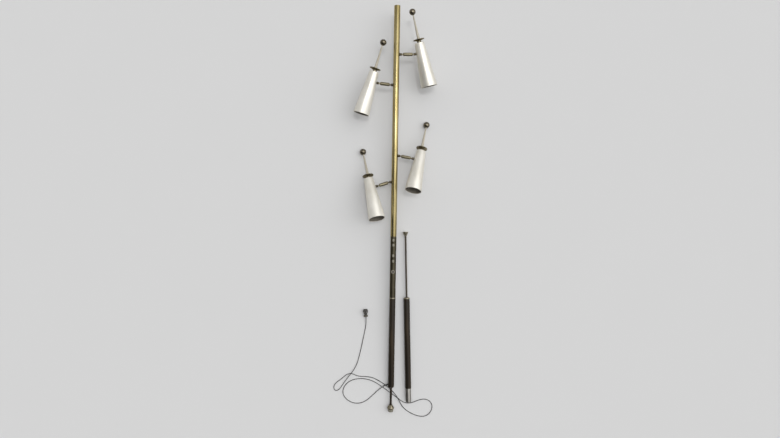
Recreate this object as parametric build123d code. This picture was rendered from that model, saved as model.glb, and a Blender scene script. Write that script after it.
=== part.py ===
from build123d import *
import os
from math import asin, atan2, cos, degrees, pi, radians, sin

# A tension-pole tree lamp, taken down and laid out: the main pole with its four lamps lies with its
# foot and the finials of the two lower lamps on the floor, and the loose upper section lies beside it.
# Millimetres. +Y runs from the foot to the socket end, +Z is up from the floor, which is Z = 0.

# ---- clearances
slide_gap = 0.05
seat_gap = 0.15

# ---- flats on the turned pieces, which have flat sides in place of round ones
turned_flats = 24
shade_flats = 32
disc_flats = 30
finial_flats = 18
knuckle_flats = 16
tongue_flats = 12

# ---- layout on the floor
pole_x = 2.0
foot_y = -876.0
pole_incline = 2.5
section_x = 79.7
section_y = -832.1
section_lean = 1.93

# ---- pole tubes
pole_radius = 12.7
pole_wall = 1.1
socket_wall = 0.9
sleeve_radius = 13.0
sleeve_bore_radius = 9.0
ring_radius = 13.2
ring_height = 4.4
ring_bore_radius = 6.0
ring_spigot = 20.0
upper_tube_length = 984.0
switch_tube_length = 265.9
switch_wall = 1.9
switch_spigot = 25.0
lower_sleeve_length = 388.1

# ---- foot and its adjuster
pad_radius = 12.0
pad_height = 11.0
foot_radius = 15.0
foot_base_radius = 12.5
foot_top_radius = 6.8
foot_height = 19.4
foot_widest = 6.0
adjuster_radius = 4.75
adjuster_showing = 78.9
adjuster_inside = 200.0
cap_radius = 12.0
cap_thickness = 2.7
cap_plug = 16.0

# ---- switches: middles measured down from the upper end of the switch tube
button_drops = (106.4, 82.5, 36.9, 16.0)
button_width = 9.0
button_tall = 12.4
button_proud = 2.5
button_flange = 1.2
button_flange_margin = 1.3
button_post = 1.4
button_post_width = 4.0
button_travel = 2.5
knob_drop = 152.2
knob_radius = 8.0
knob_depth = 5.3
knob_shaft_radius = 2.5
knob_rib = 2.0
knob_rib_proud = 1.0
block_front = 3.6
block_half_width = 9.6
block_depth = 8.2
block_margin = 12.0

# ---- lamps: place on the pole (height, 0 right or 180 left), arm slope, head tilt, forward lean.
# A lean of None lays that lamp's finial on the floor.
lamps = {
    "upper_right": (1549.5, 0, 1.7, -14.3, 5.7),
    "upper_left": (1420.4, 180, 6.0, -16.4, -0.2),
    "lower_right": (1118.0, 0, -11.5, 10.6, None),
    "lower_left": (1005.0, 180, -20.3, 12.4, None),
}
knuckle_radius = 5.5
knuckle_standoff = 7.4
knuckle_slot = 3.8
slot_below_pin = 5.0
fork_past_pin = 3.2
pin_radius = 2.0
pin_seat = 0.5
stud_radius = 3.1
nut_across = 9.0
nut_height = 3.6
pin_spacing = 56.4
tongue_radius = 4.8
tongue_thickness = 3.6
tongue_web = 4.4
barrel_radius = 7.0
barrel_neck_radius = 3.0
barrel_from_pin = 6.3
barrel_taper = 4.5

# ---- shades
shade_length = 186.5
shade_rim_radius = 35.0
shade_top_radius = 20.2
shade_wall = 0.8
shade_top_thickness = 1.2
bracket_drop = 41.0
stub_width = 4.0
stub_plate = 7.0
stub_plate_thickness = 1.2
hub_radius = 9.3
hub_height = 14.0
disc_radius = 24.0
disc_thickness = 1.6
stem_base_radius = 6.0
stem_tip_radius = 2.5
ball_radius = 13.5
ball_above_disc = 114.4
ball_bands = 7
holder_radius = 16.5
holder_length = 48.0
bulb_neck_radius = 13.0
bulb_neck = 14.0
bulb_radius = 22.5
bulb_length = 61.0

# ---- loose upper section
socket_gap = 0.1
spigot_length = 59.8
spigot_wall = 1.2
spigot_tail = 60.0
upper_sleeve_length = 392.6
plunger_radius = 3.85
plunger_showing = 269.2
plunger_inside = 14.0
collar_radius = 8.0
collar_height = 6.0
spring_radius = 7.5
spring_wall = 1.6
top_cup_radius = 12.0
top_cup_height = 19.8
top_pad_radius = 11.0
top_pad_height = 1.0

# ---- cord and plug
cord_radius = 1.5
cord_sides = 4
grommet_radius = 3.2
grommet_height = 4.5
grommet_angle = 22.0
grommet_proud = 2.8
plug_width = 22.0
plug_length = 27.0
plug_thickness = 12.4
plug_collar_width = 17.0
plug_collar_length = 7.0
plug_neck_width = 9.0
plug_widest = 17.0
plug_corner = 3.0
plug_blade_back = 2.0
blade_width = 6.3
blade_thickness = 1.5
blade_length = 16.0
blade_spacing = 12.7

# ---- heights up the main pole, from the face of the foot pad
z_foot = pad_height
z_adjuster = z_foot + foot_height
z_cap = z_adjuster + adjuster_showing
z_sleeve = z_cap + cap_thickness
z_ring = z_sleeve + lower_sleeve_length
z_switch = z_ring + ring_height
z_brass = z_switch + switch_tube_length
z_top = z_brass + upper_tube_length
pole_bore = pole_radius - pole_wall
socket_bore = pole_radius - socket_wall
socket_depth = spigot_length + 2 * seat_gap

# The foot's widest ring is what lies on the floor, so it sets the height of the pad's middle.
foot_z = foot_radius * cos(radians(pole_incline)) - (z_foot + foot_widest) * sin(radians(pole_incline))
pole = Pos(pole_x, foot_y, foot_z) * Rot(pole_incline - 90, 0, 0)
section = Pos(section_x, section_y, sleeve_radius) * Rot(0, 0, section_lean) * Rot(-90, 0, 0)


def rod(radius, low, high):
    """A round bar up the Z axis."""
    return Pos(0, 0, low) * extrude(Circle(radius), high - low)


def tube(radius, bore, low, high):
    """A round tube up the Z axis."""
    return Pos(0, 0, low) * extrude(Circle(radius) - Circle(bore), high - low)


def block(low, high):
    """A rectangular block between two opposite corners."""
    size = [b - a for a, b in zip(low, high)]
    middle = [(a + b) / 2 for a, b in zip(low, high)]
    return Pos(*middle) * Box(*size)


def polygon_points(radius, height, flats):
    """The corners of a level regular polygon, turned so that a flat faces each axis."""
    turns = [(step + 0.5) * 2 * pi / flats for step in range(flats)]
    return [Vector(radius * cos(turn), radius * sin(turn), height) for turn in turns]


def turned(*corners, flats=turned_flats):
    """A turned shape about Z made of flat facets. Its profile joins the (radius, height) corners."""
    facets = []
    for (radius, height), (next_radius, next_height) in zip(corners, corners[1:] + corners[:1]):
        near = polygon_points(radius, height, flats)
        far = polygon_points(next_radius, next_height, flats)
        if radius == 0 and next_radius == 0:
            continue
        if radius == 0 or next_radius == 0:
            facets.append(Face(Wire.make_polygon(far if radius == 0 else near)))
            continue
        for step in range(flats):
            after = (step + 1) % flats
            facets.append(Face(Wire.make_polygon([near[step], near[after], far[after], far[step]])))
    return Solid(Shell(facets))


def bar(radius, low, high, flats=turned_flats):
    """A flat-sided bar up the Z axis, for pieces that nothing turns or slides in."""
    return turned((0, low), (radius, low), (radius, high), (0, high), flats=flats)


def side_hole(radius, height, reach, place=Location()):
    """A cutter for a round hole through one wall, pointing along +X of its place."""
    return Pos(0, 0, height) * place * Rot(0, 90, 0) * extrude(Circle(radius), reach)


# ---- main pole
def make_upper_tube():
    """The brass tube, reamed at its upper end to take the spigot of the loose section."""
    tube_part = tube(pole_radius, pole_bore, z_brass, z_top - socket_depth)
    tube_part += tube(pole_radius, socket_bore, z_top - socket_depth, z_top)
    for height, side, _, _, _ in lamps.values():
        tube_part -= side_hole(stud_radius + slide_gap, height, pole_radius * 2, Rot(0, 0, side))
    return tube_part


def make_switch_tube():
    bore = pole_radius - switch_wall
    body = tube(pole_radius, bore, z_switch, z_brass)
    body += tube(pole_bore - slide_gap, bore, z_brass, z_brass + switch_spigot)
    half_width = button_width / 2 + seat_gap
    half_tall = button_tall / 2 + seat_gap
    for drop in button_drops:
        middle = z_brass - drop
        low = middle - half_tall
        body -= block((-half_width, -2 * pole_radius, low), (half_width, 0, middle + half_tall))
    knob_height = z_brass - knob_drop
    return body - side_hole(knob_shaft_radius + slide_gap, knob_height, 2 * pole_radius, Rot(0, 0, -90))


def make_lower_ring():
    lower_fit = sleeve_bore_radius - slide_gap
    upper_fit = pole_radius - switch_wall - slide_gap
    return turned(
        (ring_bore_radius, z_ring - ring_spigot),
        (lower_fit, z_ring - ring_spigot),
        (lower_fit, z_ring),
        (ring_radius, z_ring),
        (ring_radius, z_switch),
        (upper_fit, z_switch),
        (upper_fit, z_switch + ring_spigot),
        (ring_bore_radius, z_switch + ring_spigot),
    )


grommet_turn = Rot(0, 0, 180 - grommet_angle)


def make_lower_sleeve():
    sleeve = tube(sleeve_radius, sleeve_bore_radius, z_sleeve, z_ring)
    height = z_sleeve + grommet_height
    return sleeve - side_hole(grommet_radius + slide_gap, height, 2 * sleeve_radius, grommet_turn)


def make_end_cap():
    fit = sleeve_bore_radius - slide_gap
    z_plug = z_sleeve + cap_plug
    cap = turned(
        (0, z_cap),
        (cap_radius, z_cap),
        (cap_radius, z_sleeve),
        (fit, z_sleeve),
        (fit, z_plug),
        (0, z_plug),
    )
    return cap - rod(adjuster_radius + slide_gap, z_cap, z_plug)


def make_cord_grommet():
    inner = sleeve_bore_radius + slide_gap
    outer = sleeve_radius + grommet_proud
    bush = rod(grommet_radius, inner, outer)
    return Pos(0, 0, z_sleeve + grommet_height) * grommet_turn * Rot(0, 90, 0) * bush


def make_switch_block():
    low = z_brass - knob_drop - block_margin
    high = z_brass - min(button_drops) + block_margin
    return block((-block_half_width, -block_front, low), (block_half_width, block_depth - block_front, high))


def make_button(drop):
    """A push button held behind the tube's wall by its flange, with a post that works the switch."""
    flange_half = button_width / 2 + button_flange_margin
    bore = pole_radius - switch_wall
    flange_face = (bore**2 - flange_half**2) ** 0.5 - seat_gap
    flange_back = flange_face - button_flange
    front = pole_radius + button_proud
    half_tall = button_tall / 2
    button = block((-button_width / 2, -front, -half_tall), (button_width / 2, -flange_face, half_tall))
    button += block(
        (-flange_half, -flange_face, -half_tall - button_flange_margin),
        (flange_half, -flange_back, half_tall + button_flange_margin),
    )
    post_half = button_post_width / 2
    button += block((-post_half, -flange_back, -post_half), (post_half, button_post - flange_back, post_half))
    return Pos(0, 0, z_brass - drop) * button


def make_master_knob():
    back = pole_radius + slide_gap
    front = back + knob_depth
    rib = knob_radius * 0.8
    knob = bar(knob_radius, back, front) + rod(knob_shaft_radius, block_front + seat_gap, back)
    knob += block((-knob_rib / 2, -rib, front), (knob_rib / 2, rib, front + knob_rib_proud))
    return Pos(0, 0, z_brass - knob_drop) * Rot(90, 0, 0) * knob


def make_adjuster_rod():
    return rod(adjuster_radius, z_adjuster, z_cap + adjuster_inside)


def make_foot_cup():
    widest = z_foot + foot_widest
    return turned(
        (0, z_foot),
        (foot_base_radius, z_foot),
        (foot_radius, widest),
        (foot_top_radius, z_adjuster),
        (0, z_adjuster),
    )


def make_foot_pad():
    return turned((0, 0), (pad_radius - 1, 0), (pad_radius, pad_height), (0, pad_height))


# ---- lamps
def attach_radius():
    """Radius of the shade where its bracket meets it."""
    return shade_top_radius + (shade_rim_radius - shade_top_radius) * bracket_drop / shade_length


disc_top = bracket_drop + hub_height + disc_thickness
ball_height = disc_top + ball_above_disc
head_offset = knuckle_standoff + attach_radius()


def lean_to_floor(height, slope, tilt):
    """The forward lean, about the arm's own axis, that lays this lamp's finial on the floor."""
    swivel_z = foot_z + height * sin(radians(pole_incline))
    reach = pin_spacing * sin(radians(slope)) - head_offset * sin(radians(tilt))
    reach += ball_height * cos(radians(tilt))
    return degrees(asin((ball_radius - swivel_z) / reach)) - pole_incline


def lamp_frames(height, side, slope, tilt, lean):
    """Frames in the standing pole: the swivel, the arm at its pin, and the head at its pin."""
    lean = lean_to_floor(height, slope, tilt) if lean is None else lean
    swivel = Pos(0, 0, height) * Rot(0, 0, side) * Rot(lean if side == 0 else -lean, 0, 0)
    arm_pin = pole_radius + knuckle_standoff
    arm = swivel * Pos(arm_pin, 0, 0) * Rot(0, -slope, 0)
    far = (arm_pin + pin_spacing * cos(radians(slope)), 0, pin_spacing * sin(radians(slope)))
    return swivel, arm, swivel * Pos(*far) * Rot(0, tilt, 0)


def fork(length):
    """A slotted bar along +X with its riveted pin at the origin: the fork half of a knuckle."""
    half = knuckle_slot / 2
    reach = 2 * knuckle_radius
    knuckle = Rot(0, 90, 0) * bar(knuckle_radius, -fork_past_pin, length, flats=knuckle_flats)
    knuckle -= block((-reach, -half, -reach), (slot_below_pin, half, reach))
    pin_half = half + pin_seat
    return knuckle + Rot(90, 0, 0) * rod(pin_radius, -pin_half, pin_half)


def make_pole_knuckle():
    """A fork that faces outwards, and the stud and nut that let it turn in the pole's wall."""
    arm_pin = pole_radius + knuckle_standoff
    base = pole_radius + seat_gap * 2
    knuckle = Pos(arm_pin, 0, 0) * Rot(0, 0, 180) * fork(arm_pin - base)
    nut_corner = nut_across / 2 / cos(radians(30))
    nut_face = (pole_bore**2 - nut_corner**2) ** 0.5 - seat_gap
    knuckle += Rot(0, 90, 0) * rod(stud_radius, nut_face, base)
    nut = extrude(RegularPolygon(nut_corner, 6), nut_height)
    return knuckle + Pos(nut_face - nut_height, 0, 0) * Rot(0, 90, 0) * nut


def make_arm_barrel():
    """The turned barrel of an arm, with a flat tongue at each end."""
    near = barrel_from_pin
    far = pin_spacing - barrel_from_pin
    barrel = Rot(0, 90, 0) * turned(
        (0, near),
        (barrel_neck_radius, near),
        (barrel_radius, near + barrel_taper),
        (barrel_radius, far - barrel_taper),
        (barrel_neck_radius, far),
        (0, far),
    )
    half = tongue_thickness / 2
    web = tongue_web / 2
    barrel += block((0, -half, -web), (near, half, web)) + block((far, -half, -web), (pin_spacing, half, web))
    for place in (0, pin_spacing):
        across = Pos(place, 0, 0) * Rot(90, 0, 0)
        barrel += across * bar(tongue_radius, -half, half, flats=tongue_flats)
        barrel -= across * rod(pin_radius + slide_gap, -half, half)
    return barrel


def cone_rise(drop):
    """How far the shade's side moves out over this drop."""
    return (shade_rim_radius - shade_top_radius) * drop / shade_length


def make_shade_knuckle():
    """A fork that faces the arm, with a square stub through the shade and a plate behind its wall."""
    base = knuckle_standoff - cone_rise(knuckle_radius) - seat_gap
    half = stub_width / 2
    plate = stub_plate / 2
    inside = attach_radius() - shade_wall - cone_rise(plate)
    plate_face = head_offset - (inside**2 - plate**2) ** 0.5 + seat_gap
    knuckle = fork(base) + block((base - pin_seat, -half, -half), (plate_face, half, half))
    return knuckle + block((plate_face, -plate, -plate), (plate_face + stub_plate_thickness, plate, plate))


def make_shade():
    """The tapered shade, closed on top. Heights are from the bracket."""
    top = bracket_drop
    rim = top - shade_length
    inside = top - shade_top_thickness
    shade = turned(
        (0, top),
        (shade_top_radius, top),
        (shade_rim_radius, rim),
        (shade_rim_radius - shade_wall, rim),
        (shade_top_radius - shade_wall + cone_rise(shade_top_thickness), inside),
        (0, inside),
        flats=shade_flats,
    )
    half = stub_width / 2 + slide_gap
    return shade - block((-shade_rim_radius, -half, -half), (0, half, half))


def make_heat_disc():
    low = bracket_drop
    hub_top = low + hub_height
    return turned(
        (0, low),
        (hub_radius, low),
        (hub_radius, hub_top),
        (disc_radius, hub_top),
        (disc_radius, disc_top),
        (0, disc_top),
        flats=disc_flats,
    )


def make_finial():
    """The tapered stem and its ball, turned as one."""
    turns = [pi * band / ball_bands for band in range(1, ball_bands)]
    ball = [(ball_radius * sin(turn), ball_height - ball_radius * cos(turn)) for turn in turns]
    neck = ball_height - (ball_radius**2 - stem_tip_radius**2) ** 0.5
    stem = [(0, disc_top), (stem_base_radius, disc_top), (stem_tip_radius, neck)]
    return turned(*stem, *ball, (0, ball[-1][1]), flats=finial_flats)


def make_lampholder():
    inside = bracket_drop - shade_top_thickness
    return bar(holder_radius, inside - holder_length, inside)


def make_bulb():
    top = bracket_drop - shade_top_thickness - holder_length
    neck = top - bulb_neck
    face = top - bulb_length
    return turned((0, top), (bulb_neck_radius, top), (bulb_neck_radius, neck), (bulb_radius, face), (0, face))


# ---- loose upper section: heights from the spigot's free end
s_sleeve = spigot_length
s_ring = s_sleeve + upper_sleeve_length
s_rod = s_ring + ring_height
s_cup = s_rod + plunger_showing
s_pad = s_cup + top_cup_height
s_collar = s_ring - plunger_inside - collar_height


def make_spigot():
    radius = socket_bore - socket_gap
    bore = sleeve_bore_radius - slide_gap - spigot_wall
    shown = tube(radius, bore, 0, s_sleeve)
    return shown + tube(sleeve_bore_radius - slide_gap, bore, s_sleeve, s_sleeve + spigot_tail)


def make_upper_sleeve():
    return tube(sleeve_radius, sleeve_bore_radius, s_sleeve, s_ring)


def make_upper_ring():
    """The guide for the sprung rod: a ring on the sleeve's end with a bush inside it."""
    fit = sleeve_bore_radius - slide_gap
    low = s_ring - plunger_inside + seat_gap
    ring = turned(
        (0, low),
        (fit, low),
        (fit, s_ring),
        (sleeve_radius, s_ring),
        (sleeve_radius, s_rod),
        (0, s_rod),
    )
    return ring - rod(plunger_radius + slide_gap, low, s_rod)


def make_spring():
    low = s_sleeve + spigot_tail + seat_gap
    return tube(spring_radius, spring_radius - spring_wall, low, s_collar - seat_gap)


def make_spring_rod():
    return rod(plunger_radius, s_collar, s_cup) + rod(collar_radius, s_collar, s_collar + collar_height)


def make_ceiling_cup():
    return turned((0, s_cup), (plunger_radius, s_cup), (top_cup_radius, s_pad), (0, s_pad))


def make_ceiling_pad():
    return bar(top_pad_radius, s_pad, s_pad + top_pad_height)


# ---- cord: its route over the floor, in the same frame as the part
floor = cord_radius + 0.1
cord_exit = pole * Pos(0, 0, z_sleeve + grommet_height) * grommet_turn
exit_reach = sleeve_radius + grommet_proud + slide_gap
cord_route = [
    tuple((cord_exit * Pos(exit_reach, 0, 0)).position),
    tuple((cord_exit * Pos(exit_reach + 9, 0, 0)).position),
    (-33, -768.5, 7.6),
    (-47.5, -780, 4.2),
    (-63, -793.5, floor),
    (-81, -812, floor),
    (-103, -832, floor),
    (-131, -846, floor),
    (-163, -846, floor),
    (-192, -831.5, floor),
    (-211, -807, floor),
    (-208, -777, floor),
    (-186, -751, floor),
    (-155, -738.5, floor),
    (-120, -736.5, floor),
    (-86, -743, floor),
    (-54, -760, floor),
    (-24, -781, floor),
    (5, -801, floor),
    (35, -822.5, floor),
    (61, -841, floor),
    (90, -842, floor),
    (120, -829, floor),
    (149, -821, floor),
    (176, -830.5, floor),
    (187, -855, floor),
    (177, -884, floor),
    (151, -901, floor),
    (118, -897, floor),
    (86, -884, floor),
    (60, -865, floor),
    (47, -847, 3.4),
    (38, -829, 7.2),
    (27.5, -811, 7.2),
    (14, -795, 3.4),
    (-5, -777, floor),
    (-28, -760, floor),
    (-54, -744, floor),
    (-82, -730.5, floor),
    (-114, -727.5, floor),
    (-145, -727, floor),
    (-172, -714.5, floor),
    (-195, -719, floor),
    (-217, -740, floor),
    (-241, -756.5, floor),
    (-252.5, -776, floor),
    (-243, -794, floor),
    (-225.5, -787, floor),
    (-213, -767, floor),
    (-198.5, -746, 3.2),
    (-184, -725.5, 7.2),
    (-169, -707, 7.2),
    (-157.5, -689.5, 3.2),
    (-147.5, -666, floor),
    (-139, -632.5, floor),
    (-130.5, -592.5, floor),
    (-122.5, -552, floor),
    (-115.5, -517, floor),
    (-112.5, -496, 3.8),
    (-112.5, -478.5, 6.2),
    (-113.7, -463.5, 6.2),
]


def make_power_cord():
    runs = [(Vector(*b) - Vector(*a)) for a, b in zip(cord_route, cord_route[1:])]
    radii = []
    for before, after in zip(runs, runs[1:]):
        half_turn = radians(before.get_angle(after)) / 2
        radii.append(0.45 * min(before.length, after.length) * cos(half_turn) / sin(half_turn))
    print("cord length", round(sum(run.length for run in runs), 1), "least radius", round(min(radii), 1))
    print("cord radii", [round(radius, 1) for radius in radii])
    path = FilletPolyline(*cord_route, radius=radii)
    return sweep(Plane(path @ 0, z_dir=path % 0) * RegularPolygon(cord_radius, cord_sides), path=path)


def make_plug():
    """A flat angle plug on its back: the cord enters at one end and the blades point up."""
    half = plug_width / 2
    collar = plug_collar_width / 2
    neck = plug_neck_width / 2
    widest = plug_collar_length + plug_widest
    end = plug_collar_length + plug_length
    corner = half - plug_corner
    body = extrude(
        make_face(
            Polyline(
                (-neck, plug_collar_length), (-half, widest), (-corner, end),
                (corner, end), (half, widest), (neck, plug_collar_length),
                close=True,
            )
        ),
        plug_thickness,
    )
    body += block((-collar, 0, 0), (collar, plug_collar_length, plug_thickness))
    low = widest - plug_blade_back - blade_width / 2
    tip = plug_thickness + blade_length
    for middle in (-blade_spacing / 2, blade_spacing / 2):
        edge = blade_thickness / 2
        body += block((middle - edge, low, plug_thickness), (middle + edge, low + blade_width, tip))
    return body


def plug_place():
    """The plug lies in line with the cord's last run."""
    before, end = Vector(*cord_route[-2]), Vector(*cord_route[-1])
    along = (end - before).normalized()
    start = end + along * slide_gap
    return Pos(start.X, start.Y, 0) * Rot(0, 0, degrees(atan2(-along.X, along.Y)))


# ---- the assembly
parts = {
    "upper_tube": pole * make_upper_tube(),
    "switch_tube": pole * make_switch_tube(),
    "lower_ring": pole * make_lower_ring(),
    "lower_sleeve": pole * make_lower_sleeve(),
    "end_cap": pole * make_end_cap(),
    "cord_grommet": pole * make_cord_grommet(),
    "switch_block": pole * make_switch_block(),
    "master_knob": pole * make_master_knob(),
    "adjuster_rod": pole * make_adjuster_rod(),
    "foot_cup": pole * make_foot_cup(),
    "foot_pad": pole * make_foot_pad(),
    "spigot": section * make_spigot(),
    "upper_sleeve": section * make_upper_sleeve(),
    "upper_ring": section * make_upper_ring(),
    "spring": section * make_spring(),
    "spring_rod": section * make_spring_rod(),
    "ceiling_cup": section * make_ceiling_cup(),
    "ceiling_pad": section * make_ceiling_pad(),
    "power_cord": make_power_cord(),
    "plug": plug_place() * make_plug(),
}
for number, drop in enumerate(button_drops, start=1):
    parts[f"button_{number}"] = pole * make_button(drop)

for lamp, placing in lamps.items():
    swivel, arm, head = (pole * frame for frame in lamp_frames(*placing))
    shade_axis = head * Pos(head_offset, 0, 0)
    parts[f"{lamp}_pole_knuckle"] = swivel * make_pole_knuckle()
    parts[f"{lamp}_arm_barrel"] = arm * make_arm_barrel()
    parts[f"{lamp}_shade_knuckle"] = head * make_shade_knuckle()
    parts[f"{lamp}_shade"] = shade_axis * make_shade()
    parts[f"{lamp}_heat_disc"] = shade_axis * make_heat_disc()
    parts[f"{lamp}_finial"] = shade_axis * make_finial()
    parts[f"{lamp}_lampholder"] = shade_axis * make_lampholder()
    parts[f"{lamp}_bulb"] = shade_axis * make_bulb()

os.makedirs("parts", exist_ok=True)
for name, solid in parts.items():
    export_step(solid, f"parts/{name}.step")
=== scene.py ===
from math import asin, cos, degrees, pi, radians, sin

import bmesh
import bpy
from mathutils import Matrix, Vector


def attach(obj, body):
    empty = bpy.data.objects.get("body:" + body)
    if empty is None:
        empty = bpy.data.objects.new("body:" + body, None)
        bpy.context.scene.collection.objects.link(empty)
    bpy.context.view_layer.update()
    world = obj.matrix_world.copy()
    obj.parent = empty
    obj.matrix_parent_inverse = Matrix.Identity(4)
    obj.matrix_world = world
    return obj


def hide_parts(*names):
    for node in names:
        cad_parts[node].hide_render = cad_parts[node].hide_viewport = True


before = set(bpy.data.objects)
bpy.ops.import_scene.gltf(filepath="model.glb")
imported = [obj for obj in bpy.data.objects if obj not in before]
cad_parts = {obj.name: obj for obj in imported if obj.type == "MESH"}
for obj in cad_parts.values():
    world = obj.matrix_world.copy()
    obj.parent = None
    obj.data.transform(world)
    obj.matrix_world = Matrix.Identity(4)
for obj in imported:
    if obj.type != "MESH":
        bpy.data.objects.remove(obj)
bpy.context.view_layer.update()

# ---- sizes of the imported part, in millimetres
METRE = 0.001
pole_radius = 12.7
socket_bore = 11.8
switch_bore = 10.8
sleeve_radius = 13.0
sleeve_bore = 9.0
spigot_radius = 11.7
spigot_bore = 7.75
lower_ring_radius = 13.2
adjuster_radius = 4.75
rod_radius = 3.85
z_foot = 11.0
z_adjuster = 30.4
z_cap = 109.3
z_sleeve = 112.0
z_ring = 500.1
z_switch = 504.5
z_brass = 770.4
z_top = 1754.4
s_sleeve = 59.8
s_ring = 452.4
s_rod = 456.8
s_cup = 726.0
s_pad = 745.8

button_heights = (159.5, 183.4, 229.0, 249.9)
knob_height = 113.7
button_proud = 2.5
button_hole_share = 1.03
knob_seat = 0.05
cord_exit_rise = 4.5
cord_exit_turn = 158

knuckle_standoff = 7.4
pin_spacing = 56.4
pin_radius = 2.0
fork_radius = 5.5
fork_slot = 3.8
tongue_thickness = 3.6
barrel_radius = 7.0
barrel_end = 6.3
shade_top_radius = 20.2
shade_rim_radius = 35.0
shade_length = 186.5
bracket_drop = 41.0
disc_top = 56.6
ball_height = 171.0
ball_radius = 13.5
holder_length = 48.0
lamps = {
    "upper_right": (1549.5, 0, 1.7, -14.3, 5.7),
    "upper_left": (1420.4, 180, 6.0, -16.4, -0.2),
    "lower_right": (1118.0, 0, -11.5, 10.6, None),
    "lower_left": (1005.0, 180, -20.3, 12.4, None),
}
attach_radius = shade_top_radius + (shade_rim_radius - shade_top_radius) * bracket_drop / shade_length
head_offset = knuckle_standoff + attach_radius


# ---- frames, in millimetres
def move(x, y, z):
    return Matrix.Translation((x, y, z))


def turn(angle, axis):
    return Matrix.Rotation(radians(angle), 4, axis)


pole_incline = 2.5
foot_radius = 15.0
z_foot_lip = z_foot + 6.0
foot_z = foot_radius * cos(radians(pole_incline)) - z_foot_lip * sin(radians(pole_incline))
pole = move(2.0, -876.0, foot_z) @ turn(pole_incline - 90, "X")
section = move(79.7, -832.1, sleeve_radius) @ turn(1.93, "Z") @ turn(-90, "X")


def lamp_frames(height, side, slope, tilt, lean):
    """The frames of a lamp's swivel, arm and head. A lean of None lays its finial on the floor."""
    if lean is None:
        reach = pin_spacing * sin(radians(slope)) - head_offset * sin(radians(tilt))
        reach += ball_height * cos(radians(tilt))
        drop = ball_radius - foot_z - height * sin(radians(pole_incline))
        lean = degrees(asin(drop / reach)) - pole_incline
    swivel = pole @ move(0, 0, height) @ turn(side, "Z") @ turn(lean if side == 0 else -lean, "X")
    arm_pin = pole_radius + knuckle_standoff
    arm = swivel @ move(arm_pin, 0, 0) @ turn(-slope, "Y")
    far = move(arm_pin + pin_spacing * cos(radians(slope)), 0, pin_spacing * sin(radians(slope)))
    head = swivel @ far @ turn(tilt, "Y")
    return swivel, arm, head


# ---- camera and stage
camera = bpy.data.objects.new("camera", bpy.data.cameras.new("camera"))
camera.location = (-0.01445, -0.0311, 2.5)
camera.rotation_euler = (0, 0, radians(0.937))
camera.data.sensor_width = 36
camera.data.lens = 26.136
camera.data.clip_end = 50
bpy.context.collection.objects.link(camera)
bpy.context.scene.camera = camera
bpy.context.scene.view_settings.view_transform = "Standard"


# ---- materials
class Shader:
    """A material's node tree, with the piece's own coordinates in metres at hand."""

    def __init__(self, name, own=True, **values):
        self.material = bpy.data.materials.new(name)
        self.material.use_nodes = True
        self.nodes = self.material.node_tree.nodes
        self.links = self.material.node_tree.links
        self.base = self.nodes["Principled BSDF"]
        for socket, value in values.items():
            self.base.inputs[socket.replace("_", " ")].default_value = value
        if own:
            where = self.nodes.new("ShaderNodeAttribute")
            where.attribute_name = "own_place"
            self.where = where.outputs["Vector"]
        else:
            self.where = self.nodes.new("ShaderNodeTexCoord").outputs["Object"]

    def noise(self, scale, stretch=(1, 1, 1), detail=3.0, rough=0.55, distort=0.0):
        mapping = self.nodes.new("ShaderNodeMapping")
        mapping.inputs["Scale"].default_value = stretch
        texture = self.nodes.new("ShaderNodeTexNoise")
        texture.inputs["Scale"].default_value = scale
        texture.inputs["Detail"].default_value = detail
        texture.inputs["Roughness"].default_value = rough
        texture.inputs["Distortion"].default_value = distort
        self.links.new(self.where, mapping.inputs["Vector"])
        self.links.new(mapping.outputs["Vector"], texture.inputs["Vector"])
        return texture.outputs["Fac"]

    def ramp(self, value, *stops):
        """Colours along a value: stops are (position, colour)."""
        node = self.nodes.new("ShaderNodeValToRGB")
        ramp = node.color_ramp
        while len(ramp.elements) < len(stops):
            ramp.elements.new(0.5)
        for element, (position, colour) in zip(ramp.elements, stops):
            element.position = position
            element.color = (*colour, 1)
        self.links.new(value, node.inputs["Fac"])
        return node.outputs["Color"]

    def span(self, value, low, high, start=0.3, end=0.7):
        """A value mapped from start..end to low..high."""
        node = self.nodes.new("ShaderNodeMapRange")
        for socket, number in zip(("From Min", "From Max", "To Min", "To Max"), (start, end, low, high)):
            node.inputs[socket].default_value = number
        self.links.new(value, node.inputs["Value"])
        return node.outputs["Result"]

    def colour(self, output):
        self.links.new(output, self.base.inputs["Base Color"])

    def roughness(self, output):
        self.links.new(output, self.base.inputs["Roughness"])

    def bump(self, *heights):
        """Bumps in turn: each is (value, strength, depth in metres)."""
        normal = None
        for value, strength, depth in heights:
            node = self.nodes.new("ShaderNodeBump")
            node.inputs["Strength"].default_value = strength
            node.inputs["Distance"].default_value = depth
            self.links.new(value, node.inputs["Height"])
            if normal:
                self.links.new(normal, node.inputs["Normal"])
            normal = node.outputs["Normal"]
        self.links.new(normal, self.base.inputs["Normal"])


ALONG = (1, 1, 0.04)


def metal(name, dark, light, low, high, edge=0.5, own=True, streak=0.12):
    """Drawn or turned metal: cloudy tarnish, fine marks along the piece, and a dull glancing edge."""
    tint = tuple(edge * c / max(light) for c in light)
    shader = Shader(name, own, Metallic=1.0, Specular_Tint=(*tint, 1))
    clouds = shader.noise(28, (1, 1, 0.35), detail=5)
    shader.colour(shader.ramp(clouds, (0.32, dark), (0.62, light)))
    marks = shader.noise(900, ALONG, detail=2)
    shader.roughness(shader.span(shader.noise(60, (1, 1, 0.2), detail=4), low, high))
    shader.bump((marks, streak, 0.00003))
    return shader.material


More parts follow.
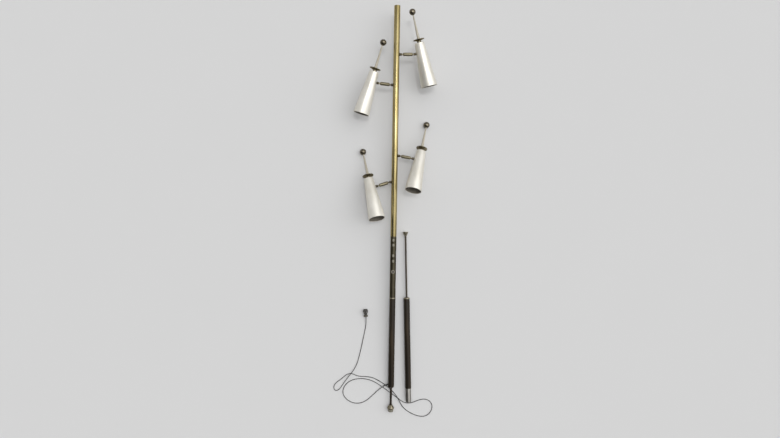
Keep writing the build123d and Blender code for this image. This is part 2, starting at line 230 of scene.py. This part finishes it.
def plain(name, dark, light, low, high, grain=700, depth=0.0001, strength=0.3, own=True, **values):
    """A moulded or painted finish: slight mottling and a fine surface grain."""
    shader = Shader(name, own, **values)
    clouds = shader.noise(45, detail=4)
    shader.colour(shader.ramp(clouds, (0.3, dark), (0.7, light)))
    shader.roughness(shader.span(shader.noise(120, detail=3), low, high))
    shader.bump((shader.noise(grain, detail=3), strength, depth))
    return shader.material


def make_walnut():
    shader = Shader("walnut", Coat_Weight=0.05, Coat_Roughness=0.35, Specular_IOR_Level=0.22)
    grain = shader.noise(150, (1, 1, 0.03), detail=6, distort=0.6)
    figure = shader.noise(40, (1, 1, 0.09), detail=4, distort=1.5)
    pores = shader.noise(1500, (1, 1, 0.02), detail=2)
    mixed = shader.nodes.new("ShaderNodeMix")
    mixed.data_type = "FLOAT"
    mixed.inputs["Factor"].default_value = 0.45
    shader.links.new(grain, mixed.inputs["A"])
    shader.links.new(figure, mixed.inputs["B"])
    shader.colour(
        shader.ramp(
            mixed.outputs["Result"],
            (0.36, (0.007, 0.0045, 0.002)),
            (0.5, (0.017, 0.011, 0.0048)),
            (0.66, (0.044, 0.029, 0.013)),
        )
    )
    shader.roughness(shader.span(grain, 0.42, 0.6))
    shader.bump((pores, 0.35, 0.0002), (grain, 0.2, 0.0002))
    return shader.material


def make_pearl():
    """Satin pearl lacquer over spun metal, with faint turning rings."""
    shader = Shader("pearl", Coat_Weight=0.15, Coat_Roughness=0.3, Metallic=0.55)
    shader.base.inputs["Specular Tint"].default_value = (0.9, 0.87, 0.78, 1)
    rings = shader.noise(260, (0.02, 0.02, 1), detail=3)
    clouds = shader.noise(22, (1, 1, 0.6), detail=5)
    shader.colour(shader.ramp(clouds, (0.3, (0.7, 0.67, 0.59)), (0.7, (0.83, 0.805, 0.74))))
    shader.roughness(shader.span(clouds, 0.34, 0.44))
    shader.bump((rings, 0.12, 0.00005), (shader.noise(1200, detail=2), 0.06, 0.00005))
    return shader.material


def make_bulb_glass():
    shader = Shader("bulb_glass", Transmission_Weight=0.35, IOR=1.46)
    clouds = shader.noise(90, detail=4)
    shader.colour(shader.ramp(clouds, (0.3, (0.72, 0.72, 0.7)), (0.7, (0.86, 0.86, 0.84))))
    shader.roughness(shader.span(clouds, 0.3, 0.45))
    shader.bump((shader.noise(900, detail=2), 0.1, 0.0001))
    return shader.material


materials = {
    "brass": metal("brass", (0.27, 0.218, 0.095), (0.38, 0.315, 0.155), 0.18, 0.26, 0.75),
    "pale_brass": metal("pale_brass", (0.26, 0.235, 0.17), (0.4, 0.365, 0.275), 0.24, 0.34),
    "disc_brass": metal("disc_brass", (0.15, 0.132, 0.09), (0.33, 0.295, 0.215), 0.16, 0.28, 0.4),
    "bronze": metal("bronze", (0.035, 0.031, 0.021), (0.085, 0.075, 0.05), 0.3, 0.45),
    "dark_bronze": metal("dark_bronze", (0.06, 0.05, 0.035), (0.14, 0.12, 0.085), 0.26, 0.4),
    "arm_brass": metal("arm_brass", (0.16, 0.14, 0.09), (0.27, 0.24, 0.16), 0.26, 0.38),
    "dark_brass": metal("dark_brass", (0.13, 0.112, 0.082), (0.25, 0.22, 0.165), 0.12, 0.2, 0.2),
    "steel": metal("steel", (0.2, 0.19, 0.175), (0.36, 0.345, 0.32), 0.28, 0.42),
    "black_steel": metal("black_steel", (0.035, 0.028, 0.022), (0.09, 0.075, 0.06), 0.3, 0.45),
    "spring_steel": metal("spring_steel", (0.2, 0.19, 0.18), (0.36, 0.35, 0.33), 0.3, 0.42, own=False),
    "walnut": make_walnut(),
    "pearl": make_pearl(),
    # The inside of each lamp shade is coloured dark: painted shade for the dim inside of the cone.
    "shade_inside_painted_shade": plain("shade_inside_painted_shade", (0.14, 0.125, 0.1), (0.19, 0.17, 0.14), 0.5, 0.65),
    "cream": plain("cream", (0.36, 0.325, 0.25), (0.48, 0.44, 0.355), 0.3, 0.42, Coat_Weight=0.2),
    "rubber": plain("rubber", (0.012, 0.011, 0.01), (0.03, 0.028, 0.025), 0.65, 0.85, 400, 0.0003),
    "grey_rubber": plain("grey_rubber", (0.15, 0.14, 0.11), (0.22, 0.205, 0.165), 0.55, 0.75, 400),
    "white_rubber": plain("white_rubber", (0.6, 0.58, 0.53), (0.74, 0.72, 0.67), 0.6, 0.8, 400),
    "button_plastic": plain("button_plastic", (0.17, 0.155, 0.12), (0.25, 0.23, 0.18), 0.35, 0.5),
    "black_plastic": plain("black_plastic", (0.012, 0.011, 0.01), (0.025, 0.023, 0.02), 0.3, 0.45),
    "hidden_plastic": plain(
        "hidden_plastic", (0.02, 0.019, 0.018), (0.04, 0.038, 0.035), 0.4, 0.6, own=False
    ),
    "plug_plastic": plain("plug_plastic", (0.012, 0.01, 0.008), (0.03, 0.026, 0.02), 0.35, 0.5),
    "cord_plastic": plain("cord_plastic", (0.028, 0.026, 0.024), (0.05, 0.047, 0.043), 0.45, 0.6, own=False),
    "collar_plastic": plain("collar_plastic", (0.06, 0.052, 0.036), (0.11, 0.096, 0.068), 0.45, 0.6),
    "bulb_glass": make_bulb_glass(),
}


# ---- mesh code, in millimetres in a piece's own frame
def soften(profile, radius, steps=4):
    """The profile with its corners rounded, where it leaves the axis and turns."""
    rounded = [profile[0]]
    for before, corner, after in zip(profile, profile[1:], profile[2:]):
        here = Vector(corner)
        back = Vector(before) - here
        on = Vector(after) - here
        cut = min(radius, 0.45 * back.length, 0.45 * on.length)
        start = here + back.normalized() * cut
        end = here + on.normalized() * cut
        for step in range(steps + 1):
            t = step / steps
            rounded.append(tuple(start * (1 - t) ** 2 + here * 2 * t * (1 - t) + end * t**2))
    rounded.append(profile[-1])
    return rounded


def turned(profile, count=64, closed=False):
    """A turned mesh about Z. A closed profile is a loop, as of a tube; an open one ends on the axis."""
    points = []
    rings = []
    for radius, height in profile:
        if radius < 1e-6:
            rings.append([len(points)])
            points.append((0, 0, height))
            continue
        rings.append(list(range(len(points), len(points) + count)))
        for step in range(count):
            angle = 2 * pi * step / count
            points.append((radius * cos(angle), radius * sin(angle), height))
    faces = []
    pairs = list(zip(rings, rings[1:]))
    if closed:
        pairs.append((rings[-1], rings[0]))
    for near, far in pairs:
        for step in range(count):
            after = (step + 1) % count
            if len(near) == 1:
                faces.append((near[0], far[after], far[step]))
            elif len(far) == 1:
                faces.append((near[step], near[after], far[0]))
            else:
                faces.append((near[step], near[after], far[after], far[step]))
    return mesh_of(points, faces)


def mesh_of(points, faces):
    mesh = bpy.data.meshes.new("shape")
    mesh.from_pydata(points, [], faces)
    work = bmesh.new()
    work.from_mesh(mesh)
    bmesh.ops.recalc_face_normals(work, faces=work.faces)
    work.to_mesh(mesh)
    work.free()
    return mesh


def tube(radius, bore, low, high, edge=0.4, count=96):
    ends = [((radius + bore) / 2, low), (radius, low), (radius, high), (bore, high), (bore, low)]
    return turned(soften(ends + [ends[0]], edge)[:-1], count, closed=True)


def block(low, high, edge=0.4, segments=3):
    """A block between two corners, with rounded edges."""
    work = bmesh.new()
    bmesh.ops.create_cube(work, size=1)
    for vertex in work.verts:
        vertex.co = [a + (b - a) * (c + 0.5) for a, b, c in zip(low, high, vertex.co)]
    bmesh.ops.bevel(work, geom=work.edges[:], offset=edge, segments=segments, profile=0.5, affect="EDGES")
    mesh = bpy.data.meshes.new("shape")
    work.to_mesh(mesh)
    work.free()
    return mesh


def placed(mesh, matrix):
    mesh = mesh.copy()
    mesh.transform(matrix)
    return mesh


def joined(*meshes):
    """Several meshes as one, each kept as its own closed shell."""
    work = bmesh.new()
    for mesh in meshes:
        work.from_mesh(mesh)
    mesh = bpy.data.meshes.new("shape")
    work.to_mesh(mesh)
    work.free()
    return mesh


def carved(mesh, operation, *tools):
    """The mesh after a boolean with each tool in turn."""
    target = bpy.data.objects.new("target", mesh)
    bpy.context.collection.objects.link(target)
    helpers = []
    for tool in tools:
        helper = bpy.data.objects.new("tool", tool)
        bpy.context.collection.objects.link(helper)
        helpers.append(helper)
        modifier = target.modifiers.new("carve", "BOOLEAN")
        modifier.operation = operation
        modifier.solver = "EXACT"
        modifier.object = helper
    bpy.context.view_layer.update()
    result = bpy.data.meshes.new_from_object(target.evaluated_get(bpy.context.evaluated_depsgraph_get()))
    for helper in (target, *helpers):
        bpy.data.objects.remove(helper)
    return result


def piece(name, mesh, matrix, material, body, nodes=(), sharp=35):
    """An object of the mesh, set at its frame, riding on a body and standing for CAD nodes."""
    mesh = mesh.copy()
    mesh.name = name
    own = mesh.attributes.new("own_place", "FLOAT_VECTOR", "POINT")
    own.data.foreach_set("vector", [c * METRE for vertex in mesh.vertices for c in vertex.co])
    mesh.transform(Matrix.Scale(METRE, 4) @ matrix)
    for one in [material] if isinstance(material, str) else material:
        mesh.materials.append(materials[one])
    mesh.shade_smooth()
    mesh.set_sharp_from_angle(angle=radians(sharp))
    made = bpy.data.objects.new(name, mesh)
    bpy.context.collection.objects.link(made)
    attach(made, body)
    if nodes:
        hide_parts(*nodes)
    return made


# ---- cord: its route's points, in millimetres, with its middle at this height on the floor
floor = 1.6
cord_exit = pole @ move(0, 0, z_sleeve + cord_exit_rise) @ turn(cord_exit_turn, "Z")
exit_reach = sleeve_radius + 2.85
cord_route = [
    tuple(cord_exit @ Vector((exit_reach, 0, 0))),
    tuple(cord_exit @ Vector((exit_reach + 9, 0, 0))),
    (-33, -768.5, 7.6),
    (-47.5, -780, 4.2),
    (-63, -793.5, floor),
    (-81, -812, floor),
    (-103, -832, floor),
    (-131, -846, floor),
    (-163, -846, floor),
    (-192, -831.5, floor),
    (-211, -807, floor),
    (-208, -777, floor),
    (-186, -751, floor),
    (-155, -738.5, floor),
    (-120, -736.5, floor),
    (-86, -743, floor),
    (-54, -760, floor),
    (-24, -781, floor),
    (5, -801, floor),
    (35, -822.5, floor),
    (61, -841, floor),
    (90, -842, floor),
    (120, -829, floor),
    (149, -821, floor),
    (176, -830.5, floor),
    (187, -855, floor),
    (177, -884, floor),
    (151, -901, floor),
    (118, -897, floor),
    (86, -884, floor),
    (60, -865, floor),
    (47, -847, 3.4),
    (38, -829, 7.2),
    (27.5, -811, 7.2),
    (14, -795, 3.4),
    (-5, -777, floor),
    (-28, -760, floor),
    (-54, -744, floor),
    (-82, -730.5, floor),
    (-114, -727.5, floor),
    (-145, -727, floor),
    (-172, -714.5, floor),
    (-195, -719, floor),
    (-217, -740, floor),
    (-241, -756.5, floor),
    (-252.5, -776, floor),
    (-243, -794, floor),
    (-225.5, -787, floor),
    (-213, -767, floor),
    (-198.5, -746, 3.2),
    (-184, -725.5, 7.2),
    (-169, -707, 7.2),
    (-157.5, -689.5, 3.2),
    (-147.5, -666, floor),
    (-139, -632.5, floor),
    (-130.5, -592.5, floor),
    (-122.5, -552, floor),
    (-115.5, -517, floor),
    (-112.5, -496, 3.8),
    (-112.5, -478.5, 6.2),
    (-113.7, -463.5, 6.2),
]
cord_diameter = 0.003


def make_cord():
    curve = bpy.data.curves.new("cord", "CURVE")
    curve.dimensions = "3D"
    spline = curve.splines.new("NURBS")
    spline.points.add(len(cord_route) - 1)
    for point, place in zip(spline.points, cord_route):
        point.co = (*(c * METRE for c in place), 1)
    spline.order_u = 3
    spline.use_endpoint_u = True
    spline.resolution_u = 8
    curve.bevel_depth = cord_diameter / 2
    curve.bevel_resolution = 3
    curve.use_fill_caps = True
    curve.materials.append(materials["cord_plastic"])
    cord = bpy.data.objects.new("cord", curve)
    bpy.context.collection.objects.link(cord)
    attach(cord, "main_pole")
    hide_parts("power_cord")
    return cord


def cord_line():
    """The points of the cord's own spline, in millimetres."""
    bare = cord.copy()
    bare.data = cord.data.copy()
    bare.data.bevel_depth = 0
    line = bpy.data.meshes.new_from_object(bare)
    points = [vertex.co / METRE for vertex in line.vertices]
    bpy.data.objects.remove(bare)
    return points


cord = make_cord()


def make_relief(length=22.0, base=3.2, tip=1.9, count=20):
    """A tapered sleeve on the cord where it leaves the pole, with three grip rings."""
    line = cord_line()
    points = []
    rings = []
    gone = 0.0
    side = Vector((0, 0, 1))
    for index, here in enumerate(line):
        if index:
            gone += (here - line[index - 1]).length
        if gone > length:
            break
        along = (line[index + 1] - here).normalized()
        across = along.cross(side).normalized()
        up = across.cross(along)
        share = gone / length
        radius = base + (tip - base) * share + 0.22 * cos(share * 6 * pi) * (1 - share)
        rings.append(list(range(len(points), len(points) + count)))
        for step in range(count):
            angle = 2 * pi * step / count
            points.append(here + (across * cos(angle) + up * sin(angle)) * radius)
    faces = [tuple(rings[0]), tuple(rings[-1])]
    for near, far in zip(rings, rings[1:]):
        for step in range(count):
            after = (step + 1) % count
            faces.append((near[step], near[after], far[after], far[step]))
    mesh = mesh_of([tuple(point) for point in points], faces)
    return piece("cord_relief", mesh, Matrix.Identity(4), "rubber", "main_pole")


# ---- main pole
def dress_main_pole():
    upper = tube(pole_radius, socket_bore, z_brass + 0.2, z_top, 0.35)
    piece("upper_tube_drawn", upper, pole, "brass", "main_pole", ["upper_tube"])

    body = tube(pole_radius, switch_bore, z_switch, z_brass, 0.3, 128)
    cutters = []
    for height in button_heights:
        hole = oval_stack([(-2 * pole_radius, button_hole_share), (-5, button_hole_share)])
        cutters.append(placed(hole, move(0, 0, z_switch + height)))
    switch_tube = carved(body, "DIFFERENCE", *cutters)
    piece("switch_tube_cut", switch_tube, pole, "bronze", "main_pole", ["switch_tube"])

    ring = [(0, z_ring), (lower_ring_radius, z_ring), (lower_ring_radius, z_switch), (0, z_switch)]
    ring = turned(soften(ring, 1.4, 6), 96)
    piece("lower_ring_turned", ring, pole, "pale_brass", "main_pole", ["lower_ring"])
    sleeve = tube(sleeve_radius, sleeve_bore, z_sleeve, z_ring, 0.6)
    piece("lower_sleeve_turned", sleeve, pole, "walnut", "main_pole", ["lower_sleeve"])
    cap = [(0, z_sleeve), (12, z_sleeve), (12, z_cap), (4.8, z_cap), (4.8, z_cap + 1), (0, z_cap + 1)]
    cap = turned(soften(cap, 0.7))
    piece("end_cap_turned", cap, pole, "black_steel", "main_pole", ["end_cap"])
    collar = [(0, 9.05), (3.2, 9.05), (3.2, 13.0), (4.6, 13.0), (4.6, 14.4), (3.3, 15.9), (0, 15.9)]
    bush = turned(soften(collar, 0.4), 32)
    piece("cord_grommet_bush", bush, cord_exit @ turn(90, "Y"), "rubber", "main_pole", ["cord_grommet"])


def oval_stack(levels, width=9.0, tall=12.4, count=48, power=3.0):
    """Rounded-rectangle rings along Y, as (y, share of the full size), closed at both ends."""
    points = []
    rings = []
    for y, share in levels:
        rings.append(list(range(len(points), len(points) + count)))
        for step in range(count):
            angle = 2 * pi * step / count
            c, s = cos(angle), sin(angle)
            reach = (abs(c) ** power + abs(s) ** power) ** (-1 / power)
            points.append((width / 2 * reach * c * share, y, tall / 2 * reach * s * share))
    faces = [tuple(rings[0]), tuple(rings[-1])]
    for near, far in zip(rings, rings[1:]):
        for step in range(count):
            after = (step + 1) % count
            faces.append((near[step], near[after], far[after], far[step]))
    return mesh_of(points, faces)


def dress_switches():
    front = -pole_radius - button_proud
    crown = ((0, 0.3), (0.06, 0.6), (0.25, 0.8), (0.7, 0.93), (1.5, 0.99))
    button = oval_stack([(front + back, share) for back, share in crown] + [(-8.0, 1.0)])
    for number, height in enumerate(button_heights, start=1):
        name = f"button_{number}"
        place = pole @ move(0, 0, z_switch + height)
        piece(f"{name}_cap", button, place, "button_plastic", name, [name])

    low = pole_radius + knob_seat
    face = low + 5.3
    profile = [(0, low), (8, low), (8, face - 0.6), (7.2, face), (5.2, face), (4.2, face - 1.4)]
    knob = turned(soften([*profile, (0, face - 1.6)], 0.35), 96)
    for vertex in knob.vertices:
        across = Vector((vertex.co.x, vertex.co.y)).length
        if across > 7.6:
            ridge = 1 + 0.022 * (vertex.index % 4 < 2)
            vertex.co.x *= ridge
            vertex.co.y *= ridge
    for polygon in knob.polygons:
        across = Vector((polygon.center.x, polygon.center.y)).length
        polygon.material_index = int(across < 4.4 or polygon.center.z < face - 1.6)
    pointer = block((-0.8, -6.4, face - 1.8), (0.8, 6.4, face + 1.0), 0.5)
    knob = joined(knob, pointer)
    frame_of_knob = pole @ move(0, 0, z_switch + knob_height) @ turn(90, "X")
    plastics = ["button_plastic", "black_plastic"]
    piece("master_knob_ring", knob, frame_of_knob, plastics, "master_knob", ["master_knob"])


def dress_foot():
    low, high = z_adjuster - 2, z_cap + 60
    rod = [(0, low), (adjuster_radius, low), (adjuster_radius, high), (0, high)]
    rod = turned(soften(rod, 0.4), 48)
    piece("adjuster_rod_turned", rod, pole, "black_steel", "foot", ["adjuster_rod"])
    cup = [(0, z_foot), (12.5, z_foot), (foot_radius, z_foot_lip), (6.8, z_adjuster), (0, z_adjuster)]
    cup = turned(soften(cup, 1.0), 64)
    piece("foot_cup_turned", cup, pole, "disc_brass", "foot", ["foot_cup"])
    pad = turned(soften([(0, 0), (11, 0), (12, z_foot), (0, z_foot)], 1.2), 64)
    piece("foot_pad_moulded", pad, pole, "grey_rubber", "foot", ["foot_pad"])


# ---- loose upper section
def dress_section():
    spigot = tube(spigot_radius, spigot_bore, 0, s_sleeve + 0.5, 0.4)
    piece("spigot_drawn", spigot, section, "steel", "upper_section", ["spigot"])
    sleeve = tube(sleeve_radius, sleeve_bore, s_sleeve, s_ring, 0.6)
    piece("upper_sleeve_turned", sleeve, section, "walnut", "upper_section", ["upper_sleeve"])
    ring = tube(sleeve_radius, rod_radius + 0.1, s_ring, s_rod, 1.2)
    piece("upper_ring_turned", ring, section, "pale_brass", "upper_section", ["upper_ring"])
    rod = [(0, s_ring - 20), (rod_radius, s_ring - 20), (rod_radius, s_cup), (0, s_cup)]
    rod = turned(soften(rod, 0.3), 48)
    piece("spring_rod_drawn", rod, section, "black_steel", "plunger", ["spring_rod"])
    cup = turned(soften([(0, s_cup), (rod_radius, s_cup), (12, s_pad), (0, s_pad)], 0.8), 64)
    piece("ceiling_cup_turned", cup, section, "pale_brass", "plunger", ["ceiling_cup"])
    pad = turned(soften([(0, s_pad), (11, s_pad), (11, s_pad + 1), (0, s_pad + 1)], 0.4), 64)
    piece("ceiling_pad_moulded", pad, section, "white_rubber", "plunger", ["ceiling_pad"])


# ---- plug
def dress_plug():
    before, end = Vector(cord_route[-2]), Vector(cord_route[-1])
    along = Vector((end.x - before.x, end.y - before.y, 0)).normalized()
    heading = -Vector((0, 1)).angle_signed(Vector((along.x, along.y)))
    place = move(end.x, end.y, 0) @ Matrix.Rotation(heading, 4, "Z")
    outline = [(-4.5, 7), (-11, 24), (-8, 34), (8, 34), (11, 24), (4.5, 7)]
    points = [(x, y, z) for z in (0.0, 12.4) for x, y in outline]
    count = len(outline)
    faces = [tuple(range(count)), tuple(range(count, 2 * count))]
    faces += [(i, (i + 1) % count, (i + 1) % count + count, i + count) for i in range(count)]
    work = bmesh.new()
    work.from_mesh(mesh_of(points, faces))
    bmesh.ops.bevel(work, geom=work.edges[:], offset=1.6, segments=4, profile=0.6, affect="EDGES")
    body = bpy.data.meshes.new("shape")
    work.to_mesh(body)
    work.free()
    plug = piece("plug_body", body, place, "plug_plastic", "main_pole", ["plug"])
    ribs = [block((-8.9, y, 0.8), (8.9, y + 1.1, 11.2), 0.5) for y in (1.2, 3.4, 5.6)]
    collar = joined(block((-8.5, 0, 1), (8.5, 7.5, 11), 1.2), *ribs)
    collar = piece("plug_collar", collar, place, "collar_plastic", "main_pole")
    blades = joined(*(block((x - 0.75, 18.85, 11), (x + 0.75, 25.15, 28.4), 0.3) for x in (-6.35, 6.35)))
    blades = piece("plug_blades", blades, place, "steel", "main_pole")
    return plug, collar, blades


# ---- lamps: each shape is made once, in its own frame
def make_fork(length):
    """A slotted bar along +X with a domed nose, its pin at the origin."""
    profile = [(0, -3.4), (3.2, -3.3), (4.9, -2.2), (fork_radius, -0.4), (fork_radius, length), (0, length)]
    bar = placed(turned(soften(profile, 0.6), 48), turn(90, "Y"))
    slot_cut = block((-12, -fork_slot / 2, -12), (5, fork_slot / 2, 12), 0.05, 1)
    fork = carved(bar, "DIFFERENCE", slot_cut)
    heads = []
    for side in (-1, 1):
        head = turned(soften([(0, 4.6), (2.7, 4.6), (2.7, 5.7), (1.4, 6.2), (0, 6.3)], 0.2), 32)
        head = carved(head, "DIFFERENCE", block((-0.4, -4, 5.7), (0.4, 4, 8), 0.02, 1))
        heads.append(placed(head, turn(90 * side, "X")))
    pin = placed(turned([(0, -2.4), (pin_radius, -2.4), (pin_radius, 2.4), (0, 2.4)], 32), turn(90, "X"))
    return joined(fork, *heads, pin)


def make_barrel():
    near, far = barrel_end, pin_spacing - barrel_end
    profile = [(0, near), (3, near), (5.4, near + 2.2), (barrel_radius, near + 5.0)]
    profile += [(barrel_radius, far - 5.0), (5.4, far - 2.2), (3, far), (0, far)]
    barrel = placed(turned(soften(profile, 0.8), 64), turn(90, "Y"))
    half = tongue_thickness / 2
    bore = pin_radius + 0.05
    tongues = []
    for pin, root in ((0, near + 1), (pin_spacing, far - 1)):
        low, high = sorted((pin, root))
        tongues.append(block((low, -half, -2.2), (high, half, 2.2), 0.3))
        eye = [(bore, -half), (4.8, -half), (4.8, half), (bore, half), (bore, -half)]
        eye = turned(soften(eye, 0.3)[:-1], 48, closed=True)
        tongues.append(placed(eye, move(pin, 0, 0) @ turn(90, "X")))
    return joined(barrel, *tongues)


def make_shade():
    """The spun shade: a rounded shoulder, a rolled rim, and its inside as the second material, a dark colour
    that paints in the shade inside the cone.
    """
    top = bracket_drop
    rim = top - shade_length
    outside = [(0, top), (shade_top_radius, top), (shade_rim_radius - 0.35, rim + 1.6)]
    outside = soften(outside, 2.2, 6)
    bead = []
    for step in range(9):
        angle = pi * step / 8
        bead.append((shade_rim_radius - 0.7 + 0.95 * cos(angle), rim + 1.1 - 0.95 * sin(angle)))
    inside = [(shade_rim_radius - 1.7, rim + 3), (shade_top_radius - 1, top - 2.4), (0, top - 1.2)]
    profile = outside[:-1] + bead + inside
    mesh = turned(profile, 96)
    inner = rim + 1.5
    for face in mesh.polygons:
        middle = face.center
        across = Vector((middle.x, middle.y)).length
        wall = shade_top_radius + (shade_rim_radius - shade_top_radius) * (top - middle.z) / shade_length
        if middle.z > inner and across < wall - 0.55 and middle.z < top - 0.4:
            face.material_index = 1
    return mesh


def make_disc():
    low = bracket_drop
    profile = [
        (0, low), (9.3, low), (9.3, low + 2.5), (8.6, low + 3.5), (8.6, low + 7), (11, low + 9),
        (21, low + 12.4), (24, low + 13.2), (24.2, low + 14.6), (21, low + 15.2),
        (8, disc_top), (0, disc_top),
    ]
    return turned(soften(profile, 0.5), 96)


def make_stem():
    end = ball_height - ball_radius + 1
    profile = [(0, disc_top), (6.6, disc_top), (6.0, disc_top + 2.5), (2.5, end), (0, end)]
    return turned(soften(profile, 0.6), 48)


def make_ball():
    low = ball_height - ball_radius
    points = [(0, low + 0.3), (3.4, low), (3.4, low + 0.6)]
    bands = 28
    for band in range(3, bands):
        angle = pi * band / bands
        points.append((ball_radius * sin(angle), ball_height - ball_radius * cos(angle)))
    points.append((0, ball_height + ball_radius))
    return turned(points, 64)


def make_holder():
    high = bracket_drop - 1.2
    low = high - holder_length
    profile = [(0, high), (12, high), (12, high - 3), (16.5, high - 6), (16.5, low + 8)]
    profile += [(15.5, low + 6), (15.5, low), (0, low)]
    return turned(soften(profile, 0.8), 64)


def make_bulb():
    top = bracket_drop - 1.2 - holder_length
    profile = [(0, top), (13, top), (13, top - 13), (14.5, top - 18), (19, top - 32), (22, top - 45)]
    profile += [(22.4, top - 51), (20.5, top - 57), (14, top - 60), (0, top - 61)]
    return turned(soften(profile, 4, 6), 64)


def make_pole_collar():
    """The turned base between the pole and the fork, seated on the pole's wall."""
    profile = [(0, 12.2), (6.6, 12.2), (6.6, 13.9), (5.7, 14.6), (0, 14.6)]
    return placed(turned(soften(profile, 0.5), 48), turn(90, "Y"))


def dress_lamps():
    arm_pin = pole_radius + knuckle_standoff
    fork = make_fork(arm_pin - pole_radius - 0.3)
    shade_fork = make_fork(knuckle_standoff - 0.6)
    washer = turned(soften([(0, 5.4), (5.2, 5.4), (5.2, 7.8), (0, 7.8)], 0.5), 48)
    washer = placed(washer, turn(90, "Y"))
    plate = block((head_offset - 23.1, -3.5, -3.5), (head_offset - 21.9, 3.5, 3.5), 0.3)
    shade_fork = joined(shade_fork, washer, plate)
    barrel, shade, disc = make_barrel(), make_shade(), make_disc()
    stem, ball, holder, bulb = make_stem(), make_ball(), make_holder(), make_bulb()
    collar = make_pole_collar()
    for lamp, placing in lamps.items():
        swivel, arm, head = lamp_frames(*placing)
        axis = head @ move(head_offset, 0, 0)
        swivel_body, arm_body, head_body = (f"{lamp}_{part}" for part in ("swivel", "arm", "head"))
        knuckle = joined(placed(fork, move(arm_pin, 0, 0) @ turn(180, "Z")), collar)
        for name, mesh, place, material, body, node, slot in (
            ("pole_fork", knuckle, swivel, "dark_bronze", swivel_body, "pole_knuckle", "bronze"),
            ("barrel", barrel, arm, "arm_brass", arm_body, "arm_barrel", "brass"),
            ("shade_fork", shade_fork, head, "dark_bronze", head_body, "shade_knuckle", "bronze"),
            # The shade's inner faces take the dark inside material, painted shade.
            ("shade_spun", shade, axis, ["pearl", "shade_inside_painted_shade"], head_body, "shade", "pearl"),
            ("disc", disc, axis, "disc_brass", head_body, "heat_disc", "bronze"),
            ("stem", stem, axis, "cream", head_body, None, "cream"),
            ("ball", ball, axis, "dark_brass", head_body, "finial", None),
            ("holder", holder, axis, "black_plastic", head_body, "lampholder", None),
            ("lamp_bulb", bulb, axis, "bulb_glass", head_body, "bulb", None),
        ):
            nodes = [f"{lamp}_{node}"] if node else []
            piece(f"{lamp}_{name}", mesh, place, material, body, nodes)


make_relief()
dress_main_pole()
dress_switches()
dress_foot()
dress_section()
plug_pieces = dress_plug()
dress_lamps()

for name, material in {"spring": "spring_steel", "switch_block": "hidden_plastic"}.items():
    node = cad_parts[name]
    for holder in node.material_slots:
        holder.material = materials[material]


# ---- floor and light
def make_floor():
    shader = Shader("floor", own=False, Roughness=0.9, Specular_IOR_Level=0.1)
    clouds = shader.noise(3, detail=2)
    shader.colour(shader.ramp(clouds, (0.2, (0.655, 0.655, 0.655)), (0.8, (0.66, 0.66, 0.66))))
    mesh = mesh_of([(-9, -9, 0), (9, -9, 0), (9, 9, 0), (-9, 9, 0)], [(0, 1, 2, 3)])
    mesh.materials.append(shader.material)
    ground = bpy.data.objects.new("ground", mesh)
    bpy.context.collection.objects.link(ground)


def sun(name, toward, strength, spread):
    lamp = bpy.data.lights.new(name, "SUN")
    lamp.energy = strength
    lamp.angle = radians(spread)
    light = bpy.data.objects.new(name, lamp)
    light.rotation_euler = Vector(toward).to_track_quat("Z", "Y").to_euler()
    bpy.context.collection.objects.link(light)


def make_sky(strength):
    """A studio bright overhead and to the right, brightest above the upper heads, with a dark horizon."""
    world = bpy.data.worlds.new("studio")
    bpy.context.scene.world = world
    world.use_nodes = True
    nodes, links = world.node_tree.nodes, world.node_tree.links

    def ramp(value, *stops):
        node = nodes.new("ShaderNodeValToRGB")
        elements = node.color_ramp.elements
        while len(elements) < len(stops):
            elements.new(0.5)
        for element, (position, level) in zip(elements, stops):
            element.position = position
            element.color = (level, level, level, 1)
        links.new(value, node.inputs["Fac"])
        return node.outputs["Color"]

    def combine(operation, first, second):
        node = nodes.new("ShaderNodeMath")
        node.operation = operation
        links.new(first, node.inputs[0])
        links.new(second, node.inputs[1])
        return node.outputs["Value"]

    direction = nodes.new("ShaderNodeTexCoord").outputs["Generated"]
    facing = nodes.new("ShaderNodeVectorMath")
    facing.operation = "DOT_PRODUCT"
    facing.inputs[1].default_value = Vector((0.72, 0.12, 1.0)).normalized()
    split = nodes.new("ShaderNodeSeparateXYZ")
    links.new(direction, facing.inputs[0])
    links.new(direction, split.inputs["Vector"])
    along = nodes.new("ShaderNodeMapRange")
    along.inputs["From Min"].default_value = -0.4
    along.inputs["From Max"].default_value = 0.4
    links.new(split.outputs["Y"], along.inputs["Value"])
    overhead = ramp(facing.outputs["Value"], (0.1, 0.06), (0.42, 0.13), (0.66, 0.62), (0.85, 1.0))
    horizon = ramp(along.outputs["Result"], (0.4, 0.07), (0.57, 0.2), (0.74, 0.62))
    peak = ((0.06, 0.34), (0.3, 0.4), (0.46, 0.58), (0.56, 0.85), (0.64, 1.0), (0.72, 0.6), (0.8, 0.36))
    far_end = ramp(along.outputs["Result"], *peak)
    level = combine("MULTIPLY", combine("MAXIMUM", overhead, horizon), far_end)
    links.new(level, nodes["Background"].inputs["Color"])
    nodes["Background"].inputs["Strength"].default_value = strength


make_floor()
sun("key", (0.1, 0.13, 1.0), 0.42, 9)
sun("side", (0.6, 0.3, 1.0), 0.6, 60)
make_sky(2.61)
